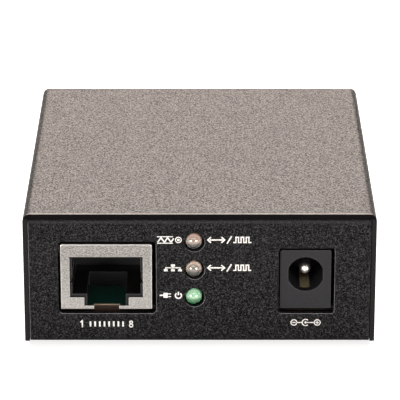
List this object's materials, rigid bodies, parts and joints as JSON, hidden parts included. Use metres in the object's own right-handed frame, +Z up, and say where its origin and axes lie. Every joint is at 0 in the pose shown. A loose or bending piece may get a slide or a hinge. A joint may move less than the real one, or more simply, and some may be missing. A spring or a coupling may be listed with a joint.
{
  "type": "fibre media converter",
  "caption": "Small steel-cased network media converter with a LAN socket, indicator lamps and a power socket in front and a fibre module slot behind.",
  "frame": {"origin": "centre of the whole object's box, at the bottom of the rubber feet", "axes": "+X to the right seen from the front, +Y from the front wall to the rear wall, +Z up"},
  "size_m": [0.0616, 0.0686, 0.0253],
  "materials": {
    "cover_paint": "fine-textured dark grey powder coat",
    "base_paint": "fine-textured black powder coat",
    "plated_steel": "satin nickel plate on thin steel",
    "zinc_steel": "zinc-plated steel",
    "black_moulding": "glass-filled black moulding",
    "board_laminate": "green solder mask on glass-epoxy laminate",
    "gold_contact": "gold flash on spring bronze",
    "tinned_lead": "bright tin plate",
    "lamp_epoxy": "milky cast epoxy",
    "lamp_epoxy_green": "milky green cast epoxy, lit",
    "chip_epoxy": "black moulding compound",
    "ferrite": "dark sintered ferrite",
    "can_aluminium": "drawn aluminium can",
    "foot_rubber": "matt black rubber",
    "chip_ceramic": "tan ceramic"
  },
  "bodies": {
    "root": {"top_cover": "cover_paint", "base_chassis": "base_paint", "board_standoffs": "zinc_steel", "board_screws": "zinc_steel", "cover_screws": "zinc_steel", "rubber_feet": "foot_rubber", "circuit_board": "board_laminate", "lan_jack_shield": "plated_steel", "lan_jack_housing": "black_moulding", "lan_jack_contacts": "gold_contact", "power_jack_housing": "black_moulding", "power_jack_pin": "tinned_lead", "power_jack_terminal": "tinned_lead", "power_jack_spring": "gold_contact", "led_power": "lamp_epoxy_green", "led_lan": "lamp_epoxy", "led_fibre": "lamp_epoxy", "led_holder": "black_moulding", "led_leads": "tinned_lead", "fibre_cage": "plated_steel", "fibre_cage_collar": "plated_steel", "fibre_connector": "black_moulding", "fibre_connector_contacts": "gold_contact", "lan_transformer": "chip_epoxy", "lan_transformer_leads": "tinned_lead", "converter_chip": "chip_epoxy", "converter_chip_leads": "tinned_lead", "memory_chip": "chip_epoxy", "memory_chip_leads": "tinned_lead", "voltage_regulator": "chip_epoxy", "voltage_regulator_leads": "tinned_lead", "power_inductor": "ferrite", "capacitor_cans": "can_aluminium", "capacitor_bases": "black_moulding", "crystal_can": "plated_steel", "small_components": "chip_ceramic"}
  },
  "joints": []
}
